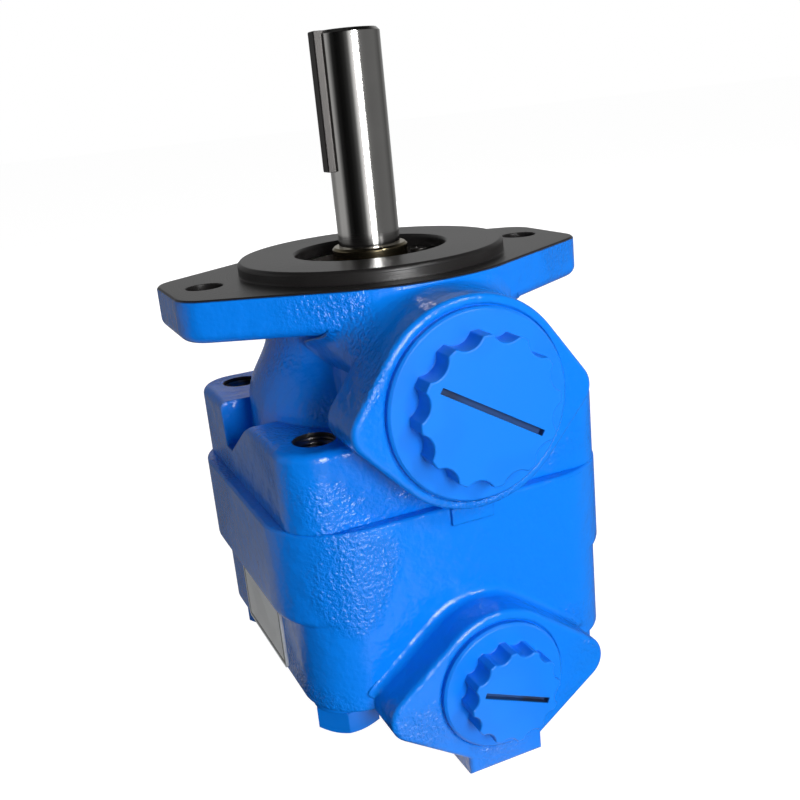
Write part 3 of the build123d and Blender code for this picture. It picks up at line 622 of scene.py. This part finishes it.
class PumpStageSettings(bpy.types.PropertyGroup):
    key_power: FloatProperty(
        name="Front light", description="Power of the tall front light", subtype="POWER",
        unit="POWER", default=14.5)
    ambient: FloatProperty(
        name="Ambient", description="Even light from all round", min=0, default=0.30)
    backdrop: FloatProperty(
        name="Backdrop", description="Level of the pale backdrop", min=0, max=1, default=1.0)
    glow: FloatProperty(
        name="Floor lift", description="What the floor shows besides the light on it", min=0,
        max=1, default=0.965)
    floor: FloatVectorProperty(
        name="Floor", description="Colour of the floor", subtype="COLOR", size=3, min=0, max=1,
        default=(0.30, 0.30, 0.30))
    lens: FloatProperty(
        name="Lens", description="Focal length", subtype="DISTANCE_CAMERA", unit="CAMERA",
        default=45.42)


# Operators

class PUMP_OT_castings(bpy.types.Operator):
    """Paints both castings and leaves the machined faces and bores as bare iron"""
    bl_idname = "pump.castings"
    bl_label = "Castings"

    def execute(self, context):
        settings = context.scene.pump_paint

        def joint_face(tree, parts):
            wide = math_node(tree, "MAXIMUM", math_node(tree, "ABSOLUTE", parts.outputs["X"]),
                             math_node(tree, "ABSOLUTE", parts.outputs["Y"]))
            return within(tree, wide, JOINT_HALF)

        def from_screws(tree, parts):
            return distance_to_axis(tree, parts, "X", "Y", (SCREW_AT, SCREW_AT), True)

        def front_bare(tree, parts):
            z = parts.outputs["Z"]
            from_shaft = distance_to_axis(tree, parts, "X", "Y", (0, 0))
            from_bolts = distance_to_axis(tree, parts, "X", "Y", (BOLT_AT, 0), True)
            return any_of(
                tree,
                fade(tree, z, MOUNTING_FACE - 0.0004, MOUNTING_FACE),
                within(tree, from_shaft, NECK_INSIDE_R),
                both(tree, within(tree, from_bolts, BOLT_HOLE_R),
                     above(tree, z, BOLT_HOLE_END, 0.0004)),
                both(tree, within(tree, from_screws(tree, parts), EAR_HOLE_R),
                     within(tree, z, EAR_HOLE_TOP)),
                both(tree, within(tree, z, JOINT_Z + 0.0001), joint_face(tree, parts)),
                *(self.hole(tree, parts, *hole) for hole in INLET_HOLES))

        def rear_bare(tree, parts):
            z = parts.outputs["Z"]
            from_shaft = distance_to_axis(tree, parts, "X", "Y", (0, 0))
            return any_of(
                tree,
                both(tree, fade(tree, z, JOINT_Z - 0.0002, JOINT_Z), joint_face(tree, parts)),
                both(tree, within(tree, from_shaft, RING_BORE_R),
                     above(tree, z, RING_BORE_END, 0.0005)),
                both(tree, within(tree, from_shaft, CHAMBER_R),
                     above(tree, z, CHAMBER_END, 0.0005)),
                within(tree, from_screws(tree, parts), SCREW_HOLE_R),
                *(self.hole(tree, parts, *hole) for hole in OUTLET_HOLES))

        dress(casting_material("painted_front_casting", settings, front_bare), "front_body")
        dress(casting_material("painted_rear_casting", settings, rear_bare), "rear_cover")
        return {"FINISHED"}

    @staticmethod
    def hole(tree, parts, height, radius, mouth, floor):
        """The wall of a hole along Y in the front, from its mouth to its floor."""
        across = within(tree, distance_to_axis(tree, parts, "X", "Z", (0, height)), radius)
        along = both(tree, fade(tree, parts.outputs["Y"], mouth - 0.0002, mouth + 0.0001),
                     within(tree, parts.outputs["Y"], floor))
        return both(tree, across, along)


class PUMP_OT_blends(bpy.types.Operator):
    """Adds the cast blends round the roots of both bosses, in the castings' own paint"""
    bl_idname = "pump.blends"
    bl_label = "Cast blends"

    def execute(self, context):
        size = context.scene.pump_blend
        inlet = root_blend(
            INLET_Z, INLET_LOBES, start=-0.0560, reach=size.inlet, base=neck_front,
            buried=0.0250, top=0.0306, sides=(30, 150))
        outlet = root_blend(
            OUTLET_Z, OUTLET_LOBES, start=-0.0575, reach=size.outlet, base=cover_front,
            buried=0.0175, top=0.0300, sides=(4, 176))
        for name, points, node in (("inlet_boss_blend", inlet, "front_body"),
                                   ("outlet_boss_blend", outlet, "rear_cover")):
            piece = closed_grid(name, points)
            piece.data.materials.append(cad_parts[node].data.materials[0])
            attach(piece, "housing")
        return {"FINISHED"}


class PUMP_OT_screws(bpy.types.Operator):
    """Paints the clamping screws' heads and their washers with the castings"""
    bl_idname = "pump.screws"
    bl_label = "Screws"

    def execute(self, context):
        paint = context.scene.pump_paint
        head = grained_material(
            "painted_screw_heads", tuple(c * 0.92 for c in paint.colour), paint.roughness * 1.2,
            grain=1500.0, depth=0.00003, soft=0.0005)
        dress(head, "cover_screws", "screw_washers")
        return {"FINISHED"}


class PUMP_OT_threads(bpy.types.Operator):
    """Cuts the tapped threads that show in the four ears above the screws' ends"""
    bl_idname = "pump.threads"
    bl_label = "Ear threads"

    def execute(self, context):
        size = context.scene.pump_thread
        steps_per_turn = 14
        along = int(round((size.top - size.end) / size.pitch * steps_per_turn))
        iron = steel_material("tapped_iron", (0.16, 0.15, 0.15), 0.3, lines=900.0)
        for name, sx, sy in (("left_front", -1, -1), ("right_front", 1, -1),
                             ("left_back", -1, 1), ("right_back", 1, 1)):
            points = thread_points(
                (sx * size.spread, sy * size.spread), size.top, size.end, size.hole, size.depth,
                size.pitch, size.around, along)
            piece = closed_grid("ear_thread_" + name, points)
            piece.data.materials.append(iron)
            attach(piece, "housing")
        return {"FINISHED"}


class PUMP_OT_shaft(bpy.types.Operator):
    """Finishes the ground shaft, its key and its collar"""
    bl_idname = "pump.shaft"
    bl_label = "Shaft"

    def execute(self, context):
        steel = context.scene.pump_steel
        dress(steel_material("ground_shaft_steel", steel.shaft, steel.roughness), "drive_shaft")
        dress(steel_material("drawn_key_steel", steel.key, 0.45, lines=700.0, depth=0.00001),
              "shaft_key")
        dress(steel_material("straw_collar_steel", steel.collar, 0.2, lines=2500.0,
                             depth=0.00001, soft=0.0004), "shaft_collar")
        return {"FINISHED"}


class PUMP_OT_bearing(bpy.types.Operator):
    """Finishes the ball bearing and the snap ring that holds it"""
    bl_idname = "pump.bearing"
    bl_label = "Bearing"

    def execute(self, context):
        dress(steel_material("polished_bearing_steel", (0.62, 0.62, 0.63), 0.14),
              "bearing_inner_race", "bearing_outer_race", "bearing_balls")
        dress(steel_material("pressed_cage_steel", (0.5, 0.48, 0.45), 0.35), "bearing_cage")
        dress(steel_material("dark_snap_ring_steel", (0.2, 0.19, 0.18), 0.3), "bearing_circlip")
        return {"FINISHED"}


class PUMP_OT_seals(bpy.types.Operator):
    """Finishes the shaft seal, its garter spring and the seal rings"""
    bl_idname = "pump.seals"
    bl_label = "Seals"

    def execute(self, context):
        rubber = grained_material("black_seal_rubber", (0.018, 0.018, 0.019), 0.55,
                                  grain=2500.0, depth=0.00002)
        dress(rubber, "shaft_seal", "cover_seal", "pressure_plate_seal")
        dress(steel_material("garter_wire", (0.45, 0.45, 0.45), 0.3, lines=1500.0, depth=0.00003),
              "seal_garter_spring")
        return {"FINISHED"}


class PUMP_OT_pumping_set(bpy.types.Operator):
    """Finishes the cam ring, rotor, vanes, pressure plate and what goes with them"""
    bl_idname = "pump.pumping_set"
    bl_label = "Pumping set"

    def execute(self, context):
        dress(steel_material("ground_ring_steel", (0.48, 0.48, 0.49), 0.25), "cam_ring")
        dress(steel_material("ground_rotor_steel", (0.42, 0.42, 0.44), 0.24), "rotor")
        dress(steel_material("ground_vane_steel", (0.55, 0.55, 0.56), 0.2, lines=6000.0), *VANES)
        dress(steel_material("ground_plate_iron", (0.24, 0.24, 0.24), 0.4, lines=2200.0,
                             depth=0.00001), "pressure_plate")
        dress(steel_material("ground_pin_steel", (0.6, 0.6, 0.6), 0.2), "locating_pins")
        dress(steel_material("spring_wire", (0.2, 0.2, 0.21), 0.35, lines=1500.0), "plate_spring")
        dress(steel_material("bush_bronze", (0.55, 0.36, 0.14), 0.3, lines=2600.0), "shaft_bush")
        return {"FINISHED"}


class PUMP_OT_spring(bpy.types.Operator):
    """Winds the spring behind the pressure plate, in place of the carried over one"""
    bl_idname = "pump.spring"
    bl_label = "Plate spring"

    def execute(self, context):
        low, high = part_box("plate_spring")
        wire_r, travel = 0.0013, 0.0005
        foot, top = low[2], high[2]
        piece = coil_spring("plate_spring_coil", foot + wire_r, top - wire_r, mean_r=0.0240,
                            wire_r=wire_r, coils=3.5)
        piece.data.materials.append(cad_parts["plate_spring"].data.materials[0])
        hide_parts("plate_spring")
        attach(piece, "housing")
        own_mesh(piece)
        return {"FINISHED"}


class PUMP_OT_plugs(bpy.types.Operator):
    """Finishes the two moulded transport plugs"""
    bl_idname = "pump.plugs"
    bl_label = "Port plugs"

    def execute(self, context):
        plug = context.scene.pump_plug
        for node, slot_half in (("inlet_plug", 0.0170), ("outlet_plug", 0.0109)):
            low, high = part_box(node)
            middle = ((low[0] + high[0]) / 2, (low[2] + high[2]) / 2)
            dress(plug_material("moulded_" + node, plug, middle, low[1], slot_half), node)
        return {"FINISHED"}


class PUMP_OT_plate(bpy.types.Operator):
    """Finishes the blank data plate with its printed edge line"""
    bl_idname = "pump.plate"
    bl_label = "Data plate"

    def execute(self, context):
        low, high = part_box("data_plate")
        dress(plate_material("lacquered_plate", context.scene.pump_plate, low, high), "data_plate")
        return {"FINISHED"}


class PUMP_OT_stage(bpy.types.Operator):
    """Sets the pale floor, the soft light and the camera at the photograph's angle"""
    bl_idname = "pump.stage"
    bl_label = "Stage"

    def execute(self, context):
        stage = context.scene.pump_stage
        scene = context.scene
        size = 6.0
        floor_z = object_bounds()[0][2]
        mesh = bpy.data.meshes.new("floor")
        mesh.from_pydata([(-size, -size, floor_z), (size, -size, floor_z), (size, size, floor_z),
                          (-size, size, floor_z)], [], [(0, 1, 2, 3)])
        floor = bpy.data.objects.new("floor", mesh)
        scene.collection.objects.link(floor)
        floor.data.materials.append(self.floor_material(stage))
        floor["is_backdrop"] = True
        self.world(scene, stage)
        self.lamps(scene, stage)
        self.camera(scene, stage)
        scene.view_settings.view_transform = "Standard"
        return {"FINISHED"}

    def floor_material(self, stage):
        """Matt pale floor that keeps the shadow; reflections see the room's level at its foot."""
        made = bpy.data.materials.new("pale_floor")
        made.use_nodes = True
        tree = made.node_tree
        tree.nodes.clear()
        path, seen = self.rays(tree)
        glow = add(tree, "ShaderNodeEmission", {"Color": (1, 1, 1, 1),
                   "Strength": math_node(tree, "MULTIPLY", seen, stage.glow)})
        matt = add(tree, "ShaderNodeBsdfDiffuse", {"Color": tuple(stage.floor) + (1.0,)})
        lit = add(tree, "ShaderNodeAddShader", {0: glow.outputs[0], 1: matt.outputs[0]})
        room = fill_group(tree, shared("pale_room_walls", room_walls), {
            "Direction": add(tree, "ShaderNodeTexCoord").outputs["Object"]})
        mirror = add(tree, "ShaderNodeEmission", {"Color": room.outputs["Level"],
                     "Strength": 1.0})
        mixed = add(tree, "ShaderNodeMixShader", {0: path.outputs["Is Glossy Ray"],
                    1: lit.outputs[0], 2: mirror.outputs[0]})
        add(tree, "ShaderNodeOutputMaterial", {"Surface": mixed.outputs[0]})
        return made

    def rays(self, tree):
        """The kinds of ray, and 1 for those that see the pale backdrop itself."""
        path = add(tree, "ShaderNodeLightPath")
        seen = math_node(tree, "MAXIMUM", path.outputs["Is Camera Ray"],
                         path.outputs["Is Transmission Ray"])
        return path, seen

    def world(self, scene, stage):
        """Even light, weaker overhead, and for reflections the same room as the floor shows."""
        world = bpy.data.worlds.new("pale_room")
        scene.world = world
        world.use_nodes = True
        tree = world.node_tree
        tree.nodes.clear()
        path, seen = self.rays(tree)
        ray = add(tree, "ShaderNodeTexCoord").outputs["Generated"]
        up = add(tree, "ShaderNodeSeparateXYZ", {0: ray}).outputs["Z"]
        room = fill_group(tree, shared("pale_room_walls", room_walls), {"Direction": ray})
        low = math_node(tree, "MULTIPLY_ADD", fade(tree, up, 0.78, 0.42), 0.92, 0.08)
        mirror = add(tree, "ShaderNodeBackground", {"Color": room.outputs["Level"],
                     "Strength": low})
        soft = math_node(tree, "MULTIPLY_ADD", fade(tree, up, 0.6, -0.15), stage.ambient * 0.8,
                         stage.ambient * 0.2)
        glow = add(tree, "ShaderNodeBackground", {"Color": (1, 1, 1, 1), "Strength": soft})
        plain = add(tree, "ShaderNodeBackground", {"Color": (1, 1, 1, 1),
                    "Strength": stage.backdrop})
        lit = add(tree, "ShaderNodeMixShader", {0: path.outputs["Is Glossy Ray"],
                  1: glow.outputs[0], 2: mirror.outputs[0]})
        shown = add(tree, "ShaderNodeMixShader", {0: seen, 1: lit.outputs[0],
                    2: plain.outputs[0]})
        add(tree, "ShaderNodeOutputWorld", {"Surface": shown.outputs[0]})

    def lamps(self, scene, stage):
        """Soft lamps round the pump at an azimuth from -Y, a lift over the floor and a distance.
        Each has a width, a height and a share of the front light; the last three don't mirror."""
        aim = Vector((0.0, 0.0, -0.06))
        for name, azimuth, lift, far, wide, tall, share, mirrored in (
                ("front_light", 2.0, 5.0, 1.1, 0.30, 0.8, 1.0, True),
                ("edge_light", 25.0, 32.0, 1.3, 0.10, 0.30, 0.3, True),
                ("left_light", -80.0, 2.0, 1.5, 1.0, 1.0, 0.2, False),
                ("right_light", 85.0, 8.0, 1.5, 1.0, 1.0, 0.5, False),
                ("back_light", 172.0, 14.0, 1.4, 1.2, 1.0, 0.8, False)):
            lamp = bpy.data.lights.new(name, "AREA")
            lamp.shape = "RECTANGLE"
            lamp.size, lamp.size_y, lamp.energy = wide, tall, stage.key_power * share
            holder = bpy.data.objects.new(name, lamp)
            holder.visible_glossy = mirrored
            a, e = math.radians(azimuth), math.radians(lift)
            off = Vector((math.sin(a) * math.cos(e), -math.cos(a) * math.cos(e), math.sin(e)))
            turn = off.to_track_quat("Z", "Y").to_matrix().to_4x4()
            holder.matrix_world = Matrix.Translation(aim + far * off) @ turn
            scene.collection.objects.link(holder)

    def camera(self, scene, stage):
        """The camera that was solved for the photograph's view: its place, its axis and its up."""
        place = Vector((-0.11595, -0.29207, 0.04985))
        ahead = Vector((0.3721, 0.8816, -0.2902)).normalized()
        up = Vector((0.2029, 0.2279, 0.9523))
        data = bpy.data.cameras.new("camera")
        data.sensor_width = 36.0
        data.lens = stage.lens
        data.shift_x, data.shift_y = -0.008, -0.00525
        data.clip_start, data.clip_end = 0.01, 50.0
        holder = bpy.data.objects.new("camera", data)
        side = ahead.cross(up).normalized()
        up = side.cross(ahead)
        turn = Matrix((side, up, -ahead)).transposed().to_4x4()
        holder.matrix_world = Matrix.Translation(place) @ turn
        scene.collection.objects.link(holder)
        scene.camera = holder


class PUMP_PT_panel(bpy.types.Panel):
    """Lists the pump's settings and the buttons that make it"""
    bl_idname = "PUMP_PT_panel"
    bl_label = "Vane pump"
    bl_space_type = "VIEW_3D"
    bl_region_type = "UI"
    bl_category = "Pump"

    def draw(self, context):
        for holder in SETTINGS:
            group = getattr(context.scene, holder)
            box = self.layout.box()
            for prop in group.bl_rna.properties:
                if prop.identifier not in ("rna_type", "name"):
                    box.prop(group, prop.identifier)
        for step in STEPS:
            self.layout.operator("pump." + step)


SETTINGS = {
    "pump_paint": PumpPaintSettings, "pump_steel": PumpSteelSettings,
    "pump_plug": PumpPlugSettings, "pump_plate": PumpPlateSettings,
    "pump_thread": PumpThreadSettings, "pump_blend": PumpBlendSettings,
    "pump_stage": PumpStageSettings,
}
STEPS = ("castings", "blends", "screws", "threads", "shaft", "bearing", "seals", "pumping_set",
         "spring", "plugs", "plate", "stage")
CLASSES = tuple(SETTINGS.values()) + (
    PUMP_OT_castings, PUMP_OT_blends, PUMP_OT_screws, PUMP_OT_threads, PUMP_OT_shaft,
    PUMP_OT_bearing, PUMP_OT_seals, PUMP_OT_pumping_set, PUMP_OT_spring, PUMP_OT_plugs,
    PUMP_OT_plate, PUMP_OT_stage, PUMP_PT_panel,
)


def register():
    for item in CLASSES:
        bpy.utils.register_class(item)
    for holder, group in SETTINGS.items():
        setattr(bpy.types.Scene, holder, PointerProperty(type=group))


def unregister():
    for holder in SETTINGS:
        delattr(bpy.types.Scene, holder)
    for item in reversed(CLASSES):
        bpy.utils.unregister_class(item)


def main():
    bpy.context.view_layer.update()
    register()
    for step in STEPS:
        getattr(bpy.ops.pump, step)()


if __name__ == "__main__":
    main()
